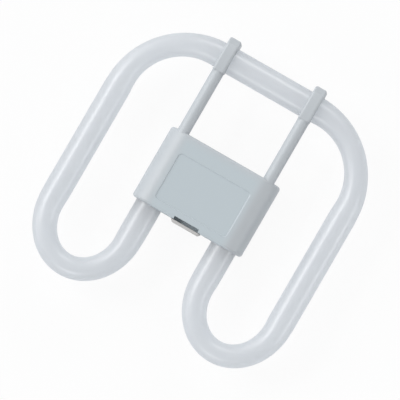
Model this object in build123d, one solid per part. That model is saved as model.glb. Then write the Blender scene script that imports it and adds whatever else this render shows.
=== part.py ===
from build123d import *
import os
from math import cos, pi, sin, sqrt

# Flat butterfly fluorescent lamp, lying on its back, in millimetres.
# X runs across the lamp, Y up its legs and Z out of its front.
# The origin lies midway between the contact pins, on the rear seating face.

# Discharge tube
tube_diameter = 13.3
bend_width = 11.2           # width in the lamp's plane at the middle of a bend
bend_sharpness = 0.6        # how soon a bend narrows: smaller is sooner
bend_lead_in = 4.0          # straight length over which the narrowing eases in
bend_sections = 12
outer_leg_x = 62.35
inner_leg_x = 20.6
top_run_y = 60.2
corner_radius = 34.5
u_bend_y = -39.5            # level at which the U bends begin
u_bend_drop = 24.4
tube_z = 18.0               # height of the tube's centre line over the rear seating face
tube_end_y = 1.0
tube_end_round = 3.5
pinch_width = 9.0
pinch_thickness = 3.0
pinch_length = 4.5

# Housing
housing_height = 38.4
wall = 1.6
cement_thickness = 1.15     # room round the tube ends for the cement
cement_length = 3.4
cement_gap = 0.05
tube_clearance = 0.15
edge_round = 1.5
panel_width = 38.5          # floor of the recessed panel
panel_height = 24.1
panel_y = -2.5
panel_depth = 0.35
panel_slope = 0.4           # width of the sloping border round that floor
panel_corner = 1.6

# Support arms
arm_x = 23.5
arm_diameter = 6.0
arm_sink = 0.3              # how far the arm's front lies under the shoulder
saddle_width = 6.2
saddle_round = 1.3          # along the sides of the saddle's front
saddle_step = 0.1           # how far the saddle stands over the arm where it begins
saddle_rise = 0.65          # and over the tube's centre line, where it is highest
saddle_lead = 0.9           # length of the saddle before it meets the tube
hook_thickness = 2.9
hook_reach = 1.5            # how far the hook goes past the tube's centre line
hook_drop = 1.5             # from the saddle's crown down to the front of the hook
hook_round = 1.2            # corners of the hook, seen from the front
hook_edge = 0.7             # and along the edge of its front

# Latch lip and slot at the foot of the housing
slot_width = 13.2
slot_height = 1.6
slot_depth = 5.0
lip_width = 15.2
lip_thickness = 1.4
lip_chamfer = 1.0
lip_setback = 0.8           # how far the lip stops short of the housing's front
lip_root = 5.0              # length of the lip's root on the rear base
lip_gap = 0.1

# Rear block with the socket well
block_height = 31.0
block_corner = 3.0
block_round = 0.8
well_width = 24.0
well_height = 17.0
well_depth = 9.5
well_corner = 2.0
tongue_width = 36.0
tongue_thickness = 0.9
tongue_rise = 1.4
tongue_gap = 0.1

# Contact pins
pin_spacing = 8.0
pin_diameter = 2.4
pin_length = 7.3
pin_tip = 0.7
shank_diameter = 3.0        # where the pin goes through the floor of the well
shank_fit = 0.02
collar_diameter = 4.0
collar_height = 0.8
tail_diameter = 1.6
tail_length = 2.4

# Starter, its capacitor and the leads
starter_diameter = 8.0
starter_nose = 3.0
starter_gap = 0.9           # room on each side of the starter
seat_gap = 0.05
leg_diameter = 0.8
leg_spacing = 3.2
leg_length = 1.5
capacitor_width = 6.6
capacitor_length = 5.0
capacitor_height = 7.0
capacitor_round = 1.0
capacitor_gap = 2.9         # from the capacitor to the end of its pocket
lead_diameter = 1.0
lead_bend = 1.2
lead_out = 3.8              # straight length of a lead beyond its pinch
lead_spread = 2.0           # the leads leave a pinch this far each side of the tube's centre line
lead_gap = 0.3

# Worked-out sizes
tube_radius = tube_diameter / 2
shoulder_radius = tube_radius + cement_thickness + wall
inner_radius = shoulder_radius - wall
half_height = housing_height / 2
front_z = tube_z + shoulder_radius
rear_z = tube_z - shoulder_radius
saddle_radius = tube_radius + tube_clearance
arm_radius = arm_diameter / 2
arm_over = arm_x - inner_leg_x
arm_front_z = tube_z + sqrt(shoulder_radius**2 - arm_over**2) - arm_sink
arm_z = arm_front_z - arm_radius
pocket_width = starter_diameter + 2 * starter_gap
well_side = well_width / 2 + wall
pocket_side = well_side + pocket_width
block_width = 2 * (pocket_side + wall)
well_top = well_depth + wall
pinch_end_y = tube_end_y + pinch_length
pin_x = pin_spacing / 2
tail_top = well_top + collar_height + tail_length
pocket_end = block_height / 2 - wall
starter_x = -(well_side + pocket_width / 2)
starter_y = starter_gap - pocket_end
starter_length = pocket_end - capacitor_gap - capacitor_length - 2 * leg_length - starter_y
starter_z = wall + seat_gap + starter_diameter / 2
starter_end_y = starter_y + starter_length
joint_y = starter_end_y + leg_length
lead_radius = lead_diameter / 2


def tube_section(point, along, width):
    """Cross-section of the tube at a point of its centre line, square to the way it runs."""
    plane = Plane(origin=(point.X, point.Y, tube_z), x_dir=(0, 0, 1), z_dir=along)
    return plane * Ellipse(tube_radius, width / 2)


def drawn_width(share):
    """Width of the tube in the lamp's plane: share is 0 before a bend and 1 at its middle."""
    eased = share**bend_sharpness
    return tube_diameter - (tube_diameter - bend_width) * eased**2 * (3 - 2 * eased)


def tube_run(start, end):
    """Straight round run of the tube between two points of its centre line."""
    path = Vector(*end) - Vector(*start)
    plane = Plane(origin=(*start, tube_z), z_dir=path)
    return extrude(plane * Circle(tube_radius), path.length)


def u_bend_line(turn):
    """Point and direction on the half ellipse from an outer leg round to an inner one."""
    half_span = (outer_leg_x - inner_leg_x) / 2
    angle = pi * turn
    point = Vector(inner_leg_x + half_span * (1 + cos(angle)), u_bend_y - u_bend_drop * sin(angle))
    return point, Vector(-half_span * sin(angle), -u_bend_drop * cos(angle)).normalized()


def corner_line(turn):
    """Point and direction on the quarter circle from an outer leg to the top run."""
    angle = pi / 2 * turn
    side = Vector(cos(angle), sin(angle))
    centre = Vector(outer_leg_x - corner_radius, top_run_y - corner_radius)
    return centre + side * corner_radius, Vector(-sin(angle), cos(angle))


def bend(centre_line, length):
    """Bend of the tube, narrowed by the bending, with a straight lead-in at each end."""
    reach = bend_lead_in + length / 2
    sections = []
    for step in range(-1, bend_sections + 2):
        turn = min(max(step / bend_sections, 0), 1)
        point, along = centre_line(turn)
        run = bend_lead_in + length * min(turn, 1 - turn)
        if step < 0:
            point -= along * bend_lead_in
            run = 0
        if step > bend_sections:
            point += along * bend_lead_in
            run = 0
        sections.append(tube_section(point, along, drawn_width(run / reach)))
    return loft(sections)


def tube_end():
    """Inner leg with its rounded end and the flat pinch that seals it."""
    leg = tube_run((inner_leg_x, u_bend_y + bend_lead_in), (inner_leg_x, tube_end_y))
    leg = fillet(leg.edges().sort_by(Axis.Y)[-1], tube_end_round)
    pinch_y = (tube_end_y - tube_end_round + pinch_end_y) / 2
    pinch = Box(pinch_width, pinch_end_y - tube_end_y + tube_end_round, pinch_thickness)
    return leg + Pos(inner_leg_x, pinch_y, tube_z) * pinch


def discharge_tube():
    """The whole sealed tube, made as one half and its mirror image."""
    corner_start = top_run_y - corner_radius - bend_lead_in
    corner_end = outer_leg_x - corner_radius - bend_lead_in
    u_bend_length = pi / 2 * ((outer_leg_x - inner_leg_x) / 2 + u_bend_drop)
    half = tube_end() + bend(u_bend_line, u_bend_length)
    half += tube_run((outer_leg_x, u_bend_y + bend_lead_in), (outer_leg_x, corner_start))
    half += bend(corner_line, pi / 2 * corner_radius)
    half += tube_run((corner_end, top_run_y), (0, top_run_y))
    return half + mirror(half, about=Plane.YZ)


def stadium(radius, half_length):
    """Bar along Y, rounded about both tube ends."""
    profile = Plane.XZ * Pos(0, tube_z) * SlotCenterToCenter(2 * inner_leg_x, 2 * radius)
    return extrude(profile, half_length, both=True)


def housing_shell():
    """Both halves of the housing as one hollow shell, open where the tube goes in."""
    shell = stadium(shoulder_radius, half_height)
    ends = shell.edges().group_by(Axis.Y)
    shell = fillet(ends[0] + ends[-1], edge_round)
    shell -= stadium(inner_radius, half_height - wall)
    for side in (-1, 1):
        mouth = Cylinder(saddle_radius, 4 * wall, rotation=(90, 0, 0))
        shell -= Pos(side * inner_leg_x, -half_height, tube_z) * mouth
    return shell


def arm_hook(hook_z):
    """Hook of the right-hand arm, up to its front at hook_z, with its end rounded."""
    length = saddle_radius + hook_thickness
    depth = hook_z - tube_z + hook_reach
    hook = Box(saddle_width, length, depth)
    hook = fillet(hook.edges().filter_by(Axis.Z).group_by(Axis.Y)[-1], hook_round)
    rim = hook.faces().sort_by(Axis.Z)[-1].edges().sort_by(Axis.Y)[1:]
    hook = fillet(rim, hook_edge)
    return Pos(arm_x, top_run_y + length / 2, hook_z - depth / 2) * hook


def support_arm():
    """Right-hand arm: a round rod that ends in a saddle over the top run and a hook beyond it."""
    saddle_start = top_run_y - saddle_radius - saddle_lead
    saddle_end = top_run_y + saddle_radius
    rod_start = half_height - wall
    rod = Cylinder(arm_radius, saddle_start - rod_start, rotation=(90, 0, 0))
    arm = Pos(arm_x, (rod_start + saddle_start) / 2, arm_z) * rod
    crown_z = arm_front_z + saddle_rise
    hook_z = crown_z - hook_drop
    crown = ThreePointArc(
        (saddle_start, arm_front_z + saddle_step),
        (top_run_y, crown_z),
        (saddle_end, hook_z),
    )
    back_z = arm_z - arm_radius
    outline = Polyline(crown @ 1, (saddle_end, back_z), (saddle_start, back_z), crown @ 0)
    saddle = extrude(Plane.YZ * make_face(crown + outline), saddle_width / 2, both=True)
    saddle = fillet(saddle.edges().filter_by(GeomType.CIRCLE), saddle_round)
    arm += Pos(arm_x, 0, 0) * saddle + arm_hook(hook_z)
    seat = Cylinder(saddle_radius, 2 * arm_diameter, rotation=(0, 90, 0))
    return arm - Pos(arm_x, top_run_y, tube_z) * seat


def front_cover():
    """Front half of the housing, moulded in one with the two support arms."""
    cover = split(housing_shell(), bisect_by=Plane.XY.offset(tube_z), keep=Keep.TOP)
    slot_wall_back = front_z - slot_depth - wall
    slot_wall_front = front_z - wall / 2
    slot_wall = Box(slot_width + 2 * wall, slot_height + wall / 2, slot_wall_front - slot_wall_back)
    slot_wall_y = -half_height + wall / 2 + (slot_height + wall / 2) / 2
    cover += Pos(0, slot_wall_y, (slot_wall_back + slot_wall_front) / 2) * slot_wall
    slot = Box(slot_width, 2 * slot_height, 2 * slot_depth)
    cover -= Pos(0, -half_height, front_z) * slot
    floor = RectangleRounded(panel_width, panel_height, panel_corner)
    mouth_corner = panel_corner + panel_slope
    mouth = RectangleRounded(panel_width + 2 * panel_slope, panel_height + 2 * panel_slope, mouth_corner)
    recess = loft([Plane.XY.offset(front_z - panel_depth) * floor, Plane.XY.offset(front_z) * mouth], ruled=True)
    cover -= Pos(0, panel_y, 0) * recess
    arm = support_arm()
    return cover + arm + mirror(arm, about=Plane.YZ)


def latch_lip():
    """Plate below the slot, on a root that joins it to the rear base."""
    lip_y = -half_height - lip_gap - lip_thickness
    front_view = Polygon(
        (-lip_width / 2, -half_height - lip_gap),
        (-lip_width / 2, lip_y + lip_chamfer),
        (-lip_width / 2 + lip_chamfer, lip_y),
        (lip_width / 2 - lip_chamfer, lip_y),
        (lip_width / 2, lip_y + lip_chamfer),
        (lip_width / 2, -half_height - lip_gap),
        align=None,
    )
    lip_back = tube_z - lip_root
    lip = extrude(Plane.XY.offset(lip_back) * front_view, front_z - lip_setback - lip_back)
    root = Box(lip_width, wall / 2 + lip_gap, lip_root)
    root_y = -half_height + (wall / 2 - lip_gap) / 2
    return lip + Pos(0, root_y, tube_z - lip_root / 2) * root


def locating_tongue():
    """Rib on the rear base that lines up the front cover's top wall."""
    wall_y = half_height - wall
    rib = Box(tongue_width, tongue_thickness, tongue_rise + wall)
    rib_y = wall_y - tongue_gap - tongue_thickness / 2
    foot = Box(tongue_width, tongue_thickness + tongue_gap + wall / 2, wall)
    foot_y = wall_y + wall / 2 - (tongue_thickness + tongue_gap + wall / 2) / 2
    tongue = Pos(0, rib_y, tube_z + (tongue_rise - wall) / 2) * rib
    return tongue + Pos(0, foot_y, tube_z - wall / 2) * foot


def rear_base():
    """Rear half of the housing with the block that holds the socket well."""
    base = split(housing_shell(), bisect_by=Plane.XY.offset(tube_z), keep=Keep.BOTTOM)
    block = extrude(RectangleRounded(block_width, block_height, block_corner), rear_z + wall)
    block = fillet(block.edges().group_by(Axis.Z)[0], block_round)
    base += block - stadium(inner_radius, half_height - wall)
    inner_corner = max(block_corner - wall, block_round)
    pockets = RectangleRounded(block_width - 2 * wall, block_height - 2 * wall, inner_corner)
    base -= extrude(Plane.XY.offset(wall) * pockets, tube_z - 2 * wall)
    well_walls = RectangleRounded(well_width + 2 * wall, well_height + 2 * wall, well_corner + wall)
    base += extrude(well_walls, well_top)
    base -= extrude(RectangleRounded(well_width, well_height, well_corner), well_depth)
    for side in (-1, 1):
        base -= Pos(side * pin_x, 0, well_top) * Cylinder(shank_diameter / 2 + shank_fit, 4 * wall)
    return base + latch_lip() + locating_tongue()


def contact_pin(side):
    """Pin with a round tip, a shank in the floor of the well, a collar and a tail for its lead."""
    upward = (Align.CENTER, Align.CENTER, Align.MIN)
    pin = Cylinder(pin_diameter / 2, pin_length, align=upward)
    pin = fillet(pin.edges().group_by(Axis.Z)[0], pin_tip)
    top = pin_length
    steps = ((shank_diameter, wall), (collar_diameter, collar_height), (tail_diameter, tail_length))
    for diameter, height in steps:
        pin += Pos(0, 0, top) * Cylinder(diameter / 2, height, align=upward)
        top += height
    return Pos(side * pin_x, 0, well_depth - pin_length) * pin


def tube_cement(side):
    """Ring of cement between a tube end and the housing, just inside the mouth."""
    ring = Circle(inner_radius - cement_gap) - Circle(tube_radius + cement_gap)
    start = -half_height + wall + cement_gap
    return extrude(Plane.XZ.offset(-start) * Pos(side * inner_leg_x, tube_z) * ring, -cement_length)


def starter_legs(start, length):
    """Two wire legs along Y, in line with the starter's leads."""
    legs = Part()
    for side in (-1, 1):
        leg = Cylinder(leg_diameter / 2, length, rotation=(90, 0, 0))
        legs += Pos(starter_x + side * leg_spacing / 2, start + length / 2, starter_z) * leg
    return legs


def starter_bulb():
    """Glow starter lying in the left pocket of the rear base."""
    glass = Cylinder(starter_diameter / 2, starter_length, rotation=(90, 0, 0))
    glass = fillet(glass.edges().group_by(Axis.Y)[0], starter_nose)
    glass = Pos(starter_x, starter_y + starter_length / 2, starter_z) * glass
    return glass + starter_legs(starter_end_y, leg_length)


def starter_capacitor():
    """Capacitor across the starter, in the same pocket."""
    body = Box(capacitor_width, capacitor_length, capacitor_height)
    body = fillet(body.edges().filter_by(Axis.Y), capacitor_round)
    x = -pocket_side + lead_gap + capacitor_width / 2
    y = joint_y + leg_length + capacitor_length / 2
    body = Pos(x, y, wall + seat_gap + capacitor_height / 2) * body
    return body + starter_legs(joint_y, leg_length)


def lead(*points):
    """Round lead through the points given, with its corners rounded."""
    path = FilletPolyline(*points, radius=lead_bend)
    return sweep(Plane(origin=path @ 0, z_dir=path % 0) * Circle(lead_radius), path)


def pin_lead(side):
    """Lead from a tube end to the tail of its contact pin."""
    x = side * (inner_leg_x - lead_spread)
    turn_y = pinch_end_y + lead_out
    return lead(
        (x, pinch_end_y, tube_z),
        (x, turn_y, tube_z),
        (side * pin_x, turn_y, tube_z),
        (side * pin_x, 0, tube_z),
        (side * pin_x, 0, tail_top),
    )


def starter_lead_left():
    """Lead from the left tube end, over the capacitor, to the starter's outer leg."""
    x = -(inner_leg_x + lead_spread)
    turn_y = pinch_end_y + lead_out
    drop_x = -(pocket_side - lead_gap - lead_radius)
    over_z = wall + seat_gap + capacitor_height + lead_gap + lead_radius
    leg_side = starter_x - leg_spacing / 2 - leg_diameter / 2
    return lead(
        (x, pinch_end_y, tube_z),
        (x, turn_y, tube_z),
        (drop_x, turn_y, over_z),
        (drop_x, joint_y, over_z),
        (drop_x, joint_y, starter_z),
        (leg_side, joint_y, starter_z),
    )


def starter_lead_right():
    """Lead from the right tube end, across above the well, to the starter's inner leg."""
    x = inner_leg_x + lead_spread
    cross_y = (well_height + block_height) / 4
    drop_x = pocket_side - lead_gap - lead_radius
    pass_x = -(well_side + lead_gap + lead_radius)
    leg_side = starter_x + leg_spacing / 2 + leg_diameter / 2
    return lead(
        (x, pinch_end_y, tube_z),
        (x, cross_y, tube_z),
        (drop_x, cross_y, starter_z),
        (pass_x, cross_y, starter_z),
        (pass_x, joint_y, starter_z),
        (leg_side, joint_y, starter_z),
    )


parts = {
    "discharge_tube": discharge_tube(),
    "front_cover": front_cover(),
    "rear_base": rear_base(),
    "contact_pin_left": contact_pin(-1),
    "contact_pin_right": contact_pin(1),
    "pin_lead_left": pin_lead(-1),
    "pin_lead_right": pin_lead(1),
    "starter_bulb": starter_bulb(),
    "starter_capacitor": starter_capacitor(),
    "starter_lead_left": starter_lead_left(),
    "starter_lead_right": starter_lead_right(),
    "tube_cement_left": tube_cement(-1),
    "tube_cement_right": tube_cement(1),
}

os.makedirs("parts", exist_ok=True)
for name, part in parts.items():
    export_step(part, f"parts/{name}.step")
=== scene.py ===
import math

import bmesh
import bpy
from mathutils import Matrix, Vector


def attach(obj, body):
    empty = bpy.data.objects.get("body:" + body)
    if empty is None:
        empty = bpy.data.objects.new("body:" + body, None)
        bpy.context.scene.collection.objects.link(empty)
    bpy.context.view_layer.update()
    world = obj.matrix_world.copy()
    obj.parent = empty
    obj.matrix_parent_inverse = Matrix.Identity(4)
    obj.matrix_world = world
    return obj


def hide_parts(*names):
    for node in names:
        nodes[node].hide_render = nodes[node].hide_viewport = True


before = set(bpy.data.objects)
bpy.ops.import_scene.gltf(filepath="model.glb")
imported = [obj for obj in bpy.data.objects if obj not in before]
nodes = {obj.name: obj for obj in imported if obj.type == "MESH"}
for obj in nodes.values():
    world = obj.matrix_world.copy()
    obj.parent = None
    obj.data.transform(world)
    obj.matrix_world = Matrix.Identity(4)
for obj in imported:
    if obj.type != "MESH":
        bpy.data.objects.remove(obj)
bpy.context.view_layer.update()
print("frame loaded:", len(nodes), "solids")


def paint(red, green, blue):  # a colour as it looks on screen, 0 to 255, in Blender's linear numbers
    steps = [channel / 255 for channel in (red, green, blue)]
    return tuple(s / 12.92 if s <= 0.04045 else ((s + 0.055) / 1.055) ** 2.4 for s in steps) + (1.0,)


class Amount:  # a value in a material that Python can do sums with
    def __init__(self, finish, socket):
        self.finish = finish
        self.socket = socket

    def sum(self, operation, first, second):
        made = self.finish.node("ShaderNodeMath", {"operation": operation}, {0: first, 1: second})
        return Amount(self.finish, made.outputs[0])

    def __add__(self, other):
        return self.sum("ADD", self, other)

    def __radd__(self, other):
        return self.sum("ADD", other, self)

    def __sub__(self, other):
        return self.sum("SUBTRACT", self, other)

    def __rsub__(self, other):
        return self.sum("SUBTRACT", other, self)

    def __mul__(self, other):
        return self.sum("MULTIPLY", self, other)

    def __rmul__(self, other):
        return self.sum("MULTIPLY", other, self)

    def __lt__(self, other):
        return self.sum("LESS_THAN", self, other)

    def __abs__(self):
        return self.sum("ABSOLUTE", self, 0.0)


class Finish:  # one material, or the world, and the nodes that make it
    def __init__(self, name, owner=None):
        self.owner = owner or bpy.data.materials.new(name)
        self.owner.use_nodes = True
        self.tree = self.owner.node_tree
        self.tree.nodes.clear()

    def node(self, kind, settings=None, sockets=None):
        made = self.tree.nodes.new(kind)
        for name, value in (settings or {}).items():
            setattr(made, name, value)
        for name, value in (sockets or {}).items():
            if isinstance(value, Amount):
                self.tree.links.new(value.socket, made.inputs[name])
            elif isinstance(value, bpy.types.NodeSocket):
                self.tree.links.new(value, made.inputs[name])
            else:
                made.inputs[name].default_value = value
        return made

    def place(self):  # the piece's own coordinates, in metres
        return self.node("ShaderNodeTexCoord").outputs["Object"]

    def axes(self):
        split = self.node("ShaderNodeSeparateXYZ", None, {0: self.place()})
        return [Amount(self, split.outputs[axis]) for axis in range(3)]

    def noise(self, patches, where=None):  # patches are a size in metres, a detail and a roughness
        size, detail, rough = patches
        sockets = {"Vector": where or self.place(), "Scale": 1 / size, "Detail": detail, "Roughness": rough}
        return Amount(self, self.node("ShaderNodeTexNoise", None, sockets).outputs["Fac"])

    def stretch(self, where, factors):
        sockets = {"Vector": where, "Scale": factors}
        return self.node("ShaderNodeMapping", None, sockets).outputs["Vector"]

    def blend(self, factor, first, second):  # 6 and 7 are a Mix node's two colours, and output 2 its result
        settings = {"data_type": "RGBA"}
        made = self.node("ShaderNodeMix", settings, {"Factor": factor, 6: first, 7: second})
        return made.outputs[2]

    def span(self, value, low, high, fromLow=0.0, fromHigh=1.0):
        sockets = {"Value": value, "From Min": fromLow, "From Max": fromHigh, "To Min": low, "To Max": high}
        return Amount(self, self.node("ShaderNodeMapRange", None, sockets).outputs["Result"])

    def bump(self, height, depth, normal=None):
        sockets = {"Height": height, "Distance": depth, "Strength": 1.0}
        if normal is not None:
            sockets["Normal"] = normal
        return self.node("ShaderNodeBump", None, sockets).outputs["Normal"]

    def surface(self, sockets, through=0.0, glow=None):
        skin = self.node("ShaderNodeBsdfPrincipled", None, sockets).outputs[0]
        if through:  # a thin wall lets that share of the light in, in the colour of its glow
            wall = self.node("ShaderNodeBsdfTranslucent", None, {"Color": glow}).outputs[0]
            skin = self.node("ShaderNodeMixShader", None, {0: through, 1: skin, 2: wall}).outputs[0]
        self.node("ShaderNodeOutputMaterial", None, {"Surface": skin})
        return self.owner


def dress(name, material):  # a CAD solid keeps its shape and gets a finish
    mesh = nodes[name].data
    mesh.materials.clear()
    mesh.materials.append(material)


# The sealed glass tube
tubeForm = {
    "radius": 0.00665,
    "bendHalfWidth": 0.0056,  # in the lamp's plane at the middle of a bend
    "bendSharpness": 0.6,  # how soon a bend narrows: smaller is sooner
    "leadIn": 0.004,  # straight length over which the narrowing eases in
    "outerLegX": 0.06235,
    "innerLegX": 0.0206,
    "topRunY": 0.0602,
    "cornerRadius": 0.0345,
    "uBendY": -0.0395,
    "uBendDrop": 0.0244,
    "axisZ": 0.018,
    "endY": 0.001,
    "endRound": 0.0035,
    "pinch": (0.009, 0.008, 0.003),  # width, length and thickness of the flat glass at a tube end
    "pinchY": 0.0015,
    "pinchRound": 0.0003,
    "pinchSegments": 2,
    "ringSegments": 80,
    "bendSteps": 56,
    "leadSteps": 5,
    "endSteps": 8,
    "mergeDistance": 1e-6,
}


def drawnHalfWidth(share):  # the tube narrows towards the middle of a bend
    eased = share ** tubeForm["bendSharpness"]
    narrowed = tubeForm["radius"] - tubeForm["bendHalfWidth"]
    return tubeForm["radius"] - narrowed * eased**2 * (3 - 2 * eased)


def bendStations(centreLine, length):
    lead, steps = tubeForm["leadIn"], tubeForm["bendSteps"]
    reach = lead + length / 2
    stations = []
    for step in range(tubeForm["leadSteps"]):
        point, along = centreLine(0)
        run = lead * step / tubeForm["leadSteps"]
        stations.append((point + along * (run - lead), along, drawnHalfWidth(run / reach)))
    for step in range(steps + 1):
        turn = step / steps
        point, along = centreLine(turn)
        stations.append((point, along, drawnHalfWidth((lead + length * min(turn, 1 - turn)) / reach)))
    for step in range(1, tubeForm["leadSteps"] + 1):
        point, along = centreLine(1)
        run = lead * step / tubeForm["leadSteps"]
        stations.append((point + along * run, along, drawnHalfWidth((lead - run) / reach)))
    return stations


def uBendLine(turn):  # half ellipse from the inner leg round to the outer one
    halfSpan = (tubeForm["outerLegX"] - tubeForm["innerLegX"]) / 2
    drop, angle = tubeForm["uBendDrop"], math.pi * turn
    x = tubeForm["innerLegX"] + halfSpan * (1 - math.cos(angle))
    along = Vector((halfSpan * math.sin(angle), -drop * math.cos(angle), 0))
    return Vector((x, tubeForm["uBendY"] - drop * math.sin(angle), tubeForm["axisZ"])), along.normalized()


def cornerLine(turn):  # quarter circle from the outer leg to the top run
    radius, angle = tubeForm["cornerRadius"], math.pi / 2 * turn
    centre = Vector((tubeForm["outerLegX"] - radius, tubeForm["topRunY"] - radius, tubeForm["axisZ"]))
    side = Vector((math.cos(angle), math.sin(angle), 0))
    return centre + side * radius, Vector((-math.sin(angle), math.cos(angle), 0))


def tubeStations():  # from a tube end, round the U bend and the corner, to the middle of the top run
    form = tubeForm
    down, stations = Vector((0, -1, 0)), []
    for step in range(form["endSteps"] + 1):
        angle = math.pi / 2 * (1 - step / form["endSteps"])
        y = form["endY"] + form["endRound"] * (math.sin(angle) - 1)
        radius = form["radius"] + form["endRound"] * (math.cos(angle) - 1)
        stations.append((Vector((form["innerLegX"], y, form["axisZ"])), down, (radius, radius)))
    halfSpan = (form["outerLegX"] - form["innerLegX"]) / 2
    stations += bendStations(uBendLine, math.pi / 2 * (halfSpan + form["uBendDrop"]))
    stations += bendStations(cornerLine, math.pi / 2 * form["cornerRadius"])
    stations.append((Vector((0, form["topRunY"], form["axisZ"])), Vector((-1, 0, 0)), form["radius"]))
    return stations


def sectionFrame(point, along, width):  # puts a circle of radius 1 on one station of the tube
    depth, halfWidth = width if isinstance(width, tuple) else (tubeForm["radius"], width)
    across = Vector((-along.y, along.x, 0)) * halfWidth
    columns = (Vector((0, 0, depth)), across, along, point)
    return Matrix([[column[row] for column in columns] for row in range(3)] + [[0, 0, 0, 1]])


def finishedPiece(bm, name):
    mesh = bpy.data.meshes.new(name)
    bm.to_mesh(mesh)
    bm.free()
    mesh.polygons.foreach_set("use_smooth", [True] * len(mesh.polygons))
    piece = bpy.data.objects.new(name, mesh)
    bpy.context.scene.collection.objects.link(piece)
    return piece


def addTubeHalf(bm):  # one ring of edges, drawn on from station to station
    straight = bm.verts.layers.float_vector.new("straightTube")  # the tube's surface as if it had no bends
    radius = tubeForm["radius"]
    frames = [sectionFrame(*station) for station in tubeStations()]
    ring = bmesh.ops.create_circle(
        bm, cap_ends=True, radius=1, segments=tubeForm["ringSegments"], matrix=frames[0]
    )["verts"]
    edges = list(bm.edges)
    walked = 0.0
    for vert in ring:
        vert[straight] = (0, 0, walked)
    for before, after in zip(frames, frames[1:]):
        made = bmesh.ops.extrude_edge_only(bm, edges=edges)["geom"]
        ring = [part for part in made if isinstance(part, bmesh.types.BMVert)]
        edges = [part for part in made if isinstance(part, bmesh.types.BMEdge) and part.is_boundary]
        bmesh.ops.transform(bm, matrix=after @ before.inverted(), verts=ring)
        walked += (after.translation - before.translation).length
        inward = after.inverted()
        for vert in ring:
            local = inward @ vert.co
            vert[straight] = (local.x * radius, local.y * radius, walked)


def addPinch(bm):  # the flat end that carries the leads
    middle = Vector((tubeForm["innerLegX"], tubeForm["pinchY"], tubeForm["axisZ"]))
    size = Matrix.Diagonal((*tubeForm["pinch"], 1))
    pinch = bmesh.ops.create_cube(bm, size=1, matrix=Matrix.Translation(middle) @ size)["verts"]
    edges = dict.fromkeys(edge for vert in pinch for edge in vert.link_edges)  # each once, in a fixed order
    bmesh.ops.bevel(
        bm,
        geom=list(edges),
        offset=tubeForm["pinchRound"],
        affect="EDGES",
        segments=tubeForm["pinchSegments"],
        profile=0.5,
        material=-1,
    )


def glassTube():
    bm = bmesh.new()
    addTubeHalf(bm)
    addPinch(bm)
    merge = tubeForm["mergeDistance"]
    bmesh.ops.mirror(bm, geom=bm.verts[:] + bm.edges[:] + bm.faces[:], axis="X", merge_dist=merge)
    bmesh.ops.remove_doubles(bm, verts=bm.verts[:], dist=merge)
    bmesh.ops.recalc_face_normals(bm, faces=bm.faces[:])
    return finishedPiece(bm, "glass_tube")


glassLook = {
    "coating": paint(229, 231, 234),
    "thinCoating": paint(219, 222, 226),
    "streaks": (0.004, 3.0, 0.5),
    "streakSqueeze": 0.08,  # along the tube, which draws the streaks out
    "streakShare": 0.4,  # of the coating's unevenness, the rest of which is patches
    "patches": (0.022, 2.0, 0.5),
    "coverRange": (0.35, 0.65),
    "smears": (0.012, 4.0, 0.6),
    "rough": 0.34,  # of the coating behind the glass
    "roughSpread": 0.06,
    "glassRough": 0.36,
    "glassIndex": 2.6,  # raised, because only the share that isn't let through carries the gloss
    "through": 0.65,
    "glow": paint(225, 228, 231),
}


def coatedGlass():
    finish = Finish("coated_glass")
    straight = finish.node("ShaderNodeAttribute", {"attribute_name": "straightTube"}).outputs["Vector"]
    drawnOut = finish.stretch(straight, (1, 1, glassLook["streakSqueeze"]))
    streaks = finish.noise(glassLook["streaks"], drawnOut)
    patches = finish.noise(glassLook["patches"])
    share = glassLook["streakShare"]
    cover = finish.span(streaks * share + patches * (1 - share), 0.0, 1.0, *glassLook["coverRange"])
    return finish.surface({
        "Base Color": finish.blend(cover, glassLook["thinCoating"], glassLook["coating"]),
        "Roughness": glassLook["rough"] + glassLook["roughSpread"] * finish.noise(glassLook["smears"]),
        "Specular IOR Level": 0.0,  # the coat has all the gloss
        "Coat Weight": 1.0,
        "Coat Roughness": glassLook["glassRough"],
        "Coat IOR": glassLook["glassIndex"],
    }, glassLook["through"], glassLook["glow"])


tube = glassTube()
tube.data.materials.append(coatedGlass())
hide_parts("discharge_tube")
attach(tube, "root")
print("glass tube made:", len(tube.data.polygons), "faces")


# The moulded housing
plasticLook = {
    "front": paint(184, 195, 201),  # painted light: the cover's flat face is painted a little bluer than its sides and arms, for the cool light that falls on it from above
    "frontHalfWidth": (0.0185, 0.0225),  # where that tint begins to fade, and where it has gone
    "frontTop": (0.0150, 0.0190),
    "cover": paint(188, 194, 199),
    "coverShade": paint(184, 190, 195),
    "base": paint(188, 187, 186),
    "baseShade": paint(183, 182, 181),
    # a thin line of painted shade where the cover meets the base, darker than the plastic
    "seamShade": paint(120, 126, 130),
    "seamZ": 0.018,
    "seamHalfWidth": 0.00009,
    "patches": (0.018, 3.0, 0.5),
    "patchRange": (0.3, 0.7),
    "grain": (0.00035, 2.0, 0.5),
    "grainDepth": 0.000012,
    "rough": 0.48,
    "roughSpread": 0.06,
    "shine": 1.0,  # 0.5 is Blender's own
    "edgeRound": 0.0004,
    "edgeSamples": 6,
}


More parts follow.
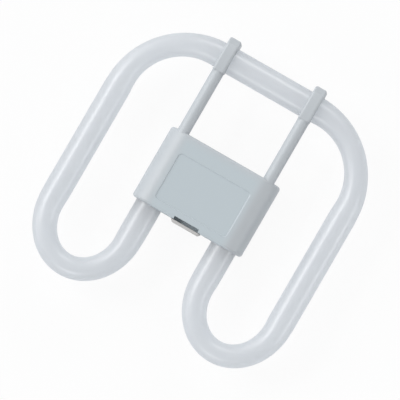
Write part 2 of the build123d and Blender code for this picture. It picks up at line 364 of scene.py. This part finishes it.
def mouldedPlastic(name, colour, shade, front):
    finish, look = Finish(name), plasticLook
    across, along, height = finish.axes()
    patches = finish.span(finish.noise(look["patches"]), 0.0, 1.0, *look["patchRange"])
    # onFront marks the cover's flat face, where the painted cool light goes
    onFront = finish.span(abs(across), 1.0, 0.0, *look["frontHalfWidth"])
    onFront = onFront * finish.span(along, 1.0, 0.0, *look["frontTop"])
    skin = finish.blend(onFront, finish.blend(patches, shade, colour), front)
    # the narrow band at the parting height that gets the painted shade line
    seamShade = abs(height - look["seamZ"]) < look["seamHalfWidth"]
    grain = finish.noise(look["grain"])
    edges = finish.node("ShaderNodeBevel", {"samples": look["edgeSamples"]}, {"Radius": look["edgeRound"]})
    return finish.surface({
        "Base Color": finish.blend(seamShade, skin, look["seamShade"]),
        "Roughness": look["rough"] + look["roughSpread"] * grain,
        "Specular IOR Level": look["shine"],
        "Normal": finish.bump(grain, look["grainDepth"], edges.outputs[0]),
    })


coverColours = plasticLook["cover"], plasticLook["coverShade"], plasticLook["front"]
baseColours = plasticLook["base"], plasticLook["baseShade"], plasticLook["base"]
dress("front_cover", mouldedPlastic("cover_plastic", *coverColours))
dress("rear_base", mouldedPlastic("base_plastic", *baseColours))
print("housing dressed")


# Contact pins
pinLook = {
    "metal": paint(214, 190, 128),
    "dull": paint(186, 158, 98),
    "tarnish": (0.0015, 4.0, 0.5),
    "tarnishRange": (0.35, 0.7),
    "ringPitch": 0.00025,
    "waveWidth": 0.314,  # of one band of the wave texture at a scale of 1
    "ringWobble": 1.5,
    "ringDetail": 1.0,
    "ringDepth": 0.000008,
    "rough": 0.22,
    "roughSpread": 0.18,
}


def turnedBrass():
    finish = Finish("pin_brass")
    rings = finish.node("ShaderNodeTexWave", {"wave_type": "BANDS", "bands_direction": "Z"}, {
        "Vector": finish.place(),
        "Scale": pinLook["waveWidth"] / pinLook["ringPitch"],
        "Distortion": pinLook["ringWobble"],
        "Detail": pinLook["ringDetail"],
    })
    tarnish = finish.noise(pinLook["tarnish"])
    dulled = finish.span(tarnish, 0.0, 1.0, *pinLook["tarnishRange"])
    return finish.surface({
        "Base Color": finish.blend(dulled, pinLook["metal"], pinLook["dull"]),
        "Metallic": 1.0,
        "Roughness": pinLook["rough"] + pinLook["roughSpread"] * tarnish,
        "Normal": finish.bump(rings.outputs["Fac"], pinLook["ringDepth"]),
    })


brass = turnedBrass()
for side in ("left", "right"):
    dress(f"contact_pin_{side}", brass)
print("contact pins dressed")


# Sleeved leads inside the housing
sleeveLook = {
    "thread": paint(226, 222, 210),
    "threadShade": paint(204, 198, 182),
    "braidSize": 0.00045,
    "braidDepth": 0.00005,
    "rough": 0.6,
    "roughSpread": 0.2,
}


def wovenSleeve():
    finish = Finish("lead_sleeve")
    sockets = {"Vector": finish.place(), "Scale": 1 / sleeveLook["braidSize"]}
    braid = finish.node("ShaderNodeTexVoronoi", {"feature": "F1"}, sockets)
    weave = Amount(finish, braid.outputs["Distance"])
    return finish.surface({
        "Base Color": finish.blend(weave, sleeveLook["thread"], sleeveLook["threadShade"]),
        "Roughness": sleeveLook["rough"] + sleeveLook["roughSpread"] * weave,
        "Normal": finish.bump(1 - weave, sleeveLook["braidDepth"]),
    })


sleeve = wovenSleeve()
for side in ("left", "right"):
    dress(f"pin_lead_{side}", sleeve)
    dress(f"starter_lead_{side}", sleeve)
print("leads dressed")


# Glow starter
starterLook = {
    "glass": paint(196, 204, 206),
    "smoked": paint(120, 122, 124),
    "smoke": (0.005, 3.0, 0.5),
    "smokeRange": (0.3, 0.75),
    "rough": 0.04,
    "roughSpread": 0.05,
    "glassIndex": 1.5,
    "clear": 0.4,
}


def starterGlass():
    finish = Finish("starter_glass")
    smoke = finish.span(finish.noise(starterLook["smoke"]), 0.0, 1.0, *starterLook["smokeRange"])
    return finish.surface({
        "Base Color": finish.blend(smoke, starterLook["glass"], starterLook["smoked"]),
        "Roughness": starterLook["rough"] + starterLook["roughSpread"] * smoke,
        "IOR": starterLook["glassIndex"],
        "Transmission Weight": starterLook["clear"],
    })


dress("starter_bulb", starterGlass())


# Its capacitor, dipped in lacquer
capacitorLook = {
    "lacquer": paint(178, 92, 44),
    "lacquerShade": paint(150, 72, 34),
    "dips": (0.0022, 3.0, 0.5),
    "dipRange": (0.3, 0.7),
    "dipDepth": 0.00008,
    "rough": 0.25,
    "roughSpread": 0.15,
}


def dippedCase():
    finish = Finish("capacitor_case")
    dips = finish.noise(capacitorLook["dips"])
    shaded = finish.span(dips, 0.0, 1.0, *capacitorLook["dipRange"])
    return finish.surface({
        "Base Color": finish.blend(shaded, capacitorLook["lacquer"], capacitorLook["lacquerShade"]),
        "Roughness": capacitorLook["rough"] + capacitorLook["roughSpread"] * dips,
        "Normal": finish.bump(dips, capacitorLook["dipDepth"]),
    })


dress("starter_capacitor", dippedCase())
print("starter and capacitor dressed")


# Cement round the tube ends
cementLook = {
    "cement": paint(214, 205, 186),
    "cementShade": paint(184, 172, 150),
    "grit": (0.0006, 5.0, 0.7),
    "gritDepth": 0.00015,
    "rough": 0.85,
    "roughSpread": 0.1,
}


def castCement():
    finish = Finish("cement")
    grit = finish.noise(cementLook["grit"])
    return finish.surface({
        "Base Color": finish.blend(grit, cementLook["cementShade"], cementLook["cement"]),
        "Roughness": cementLook["rough"] + cementLook["roughSpread"] * grit,
        "Normal": finish.bump(grit, cementLook["gritDepth"]),
    })


cement = castCement()
for side in ("left", "right"):
    dress(f"tube_cement_{side}", cement)
print("cement dressed")


# Floor, light and camera
studio = {
    "floorSize": 6.0,
    "floor": paint(240, 241, 242),
    "white": (1.0, 1.0, 1.0, 1.0),
    "whiteShare": 0.92,  # how much of the plain white the camera sees in the floor
    "ambient": 0.415,
    "aim": Vector((0, 0, 0.018)),
    "softboxes": {  # bearing in degrees from +X, height angle, distance, width, height, brightness
        "left": (180, 48, 2.0, 0.97, 0.37, 8.8),
        "leftLow": (180, 34, 2.0, 0.97, 0.34, 5.0),
        "leftTop": (150, 15, 2.0, 0.97, 0.69, 2.8),
        "leftFoot": (210, 15, 2.0, 0.97, 0.69, 2.2),
        "top": (96, 29, 0.7, 0.34, 0.12, 7.5),
        "foot": (270, 28, 0.7, 0.22, 0.10, 10.0),
        "right": (0, 22, 0.4, 0.20, 0.092, 3.9),
    },
}


def whiteWhereSeen(finish):  # 1 for rays from the camera, mirrors and glass
    path = finish.node("ShaderNodeLightPath")
    rays = "Is Camera Ray", "Is Glossy Ray", "Is Transmission Ray"
    camera, glossy, through = (Amount(finish, path.outputs[ray]) for ray in rays)
    return finish.span(camera + glossy + through, 0.0, 1.0)


def makeFloor():
    bm = bmesh.new()
    bmesh.ops.create_grid(bm, x_segments=1, y_segments=1, size=studio["floorSize"] / 2)
    floor = finishedPiece(bm, "floor")
    finish = Finish("floor_white")
    matt = finish.node("ShaderNodeBsdfDiffuse", None, {"Color": studio["floor"]})
    white = finish.node("ShaderNodeEmission", None, {"Color": studio["white"], "Strength": 1.0})
    share = whiteWhereSeen(finish) * studio["whiteShare"]
    mixed = finish.node("ShaderNodeMixShader", None, {0: share, 1: matt.outputs[0], 2: white.outputs[0]})
    finish.node("ShaderNodeOutputMaterial", None, {"Surface": mixed.outputs[0]})
    floor.data.materials.append(finish.owner)


def makeWorld():
    world = bpy.data.worlds.new("studio")
    bpy.context.scene.world = world
    finish = Finish("studio", world)
    strength = finish.span(whiteWhereSeen(finish), studio["ambient"], 1.0)
    back = finish.node("ShaderNodeBackground", None, {"Color": studio["white"], "Strength": strength})
    finish.node("ShaderNodeOutputWorld", None, {"Surface": back.outputs[0]})


def softbox(name, bearing, rise, distance, width, height, brightness):
    lamp = bpy.data.lights.new(name, "AREA")
    lamp.shape = "RECTANGLE"
    lamp.size, lamp.size_y = width, height
    lamp.energy = math.pi * width * height * brightness  # the power that gives a box this brightness
    box = bpy.data.objects.new(name, lamp)
    bpy.context.scene.collection.objects.link(box)
    turn, lift = math.radians(bearing), math.radians(rise)
    toward = Vector((math.cos(turn) * math.cos(lift), math.sin(turn) * math.cos(lift), math.sin(lift)))
    box.location = studio["aim"] + toward * distance
    box.rotation_mode = "QUATERNION"
    box.rotation_quaternion = toward.to_track_quat("Z", "Y")
    box.visible_camera = False


cameraSet = {
    "turn": 30.1,  # degrees that the lamp's top leans to the right in the picture
    "fromRight": 3.9,  # degrees that the camera stands towards the lamp's right
    "fromTop": -1.2,  # and towards its top, so here towards its foot
    "slide": (-0.00303, -0.00391),  # the middle of the picture, from the point that the lights aim at
    "reach": 1.3,
    "viewWidth": 0.1912,  # metres across the picture at the tube's height
    "sensor": 36.0,
}


def makeCamera():
    data = bpy.data.cameras.new("camera")
    data.sensor_width = cameraSet["sensor"]
    data.lens = cameraSet["sensor"] * cameraSet["reach"] / cameraSet["viewWidth"]
    camera = bpy.data.objects.new("camera", data)
    bpy.context.scene.collection.objects.link(camera)
    view = Matrix.Translation(studio["aim"])
    view = view @ Matrix.Rotation(math.radians(cameraSet["fromRight"]), 4, "Y")
    view = view @ Matrix.Rotation(math.radians(-cameraSet["fromTop"]), 4, "X")
    view = view @ Matrix.Rotation(math.radians(cameraSet["turn"]), 4, "Z")
    camera.matrix_world = view @ Matrix.Translation((*cameraSet["slide"], cameraSet["reach"]))
    bpy.context.scene.camera = camera


makeFloor()
makeWorld()
for name, values in studio["softboxes"].items():
    softbox(name, *values)
makeCamera()
bpy.context.scene.view_settings.view_transform = "Standard"
print("studio ready:", len(studio["softboxes"]), "softboxes")
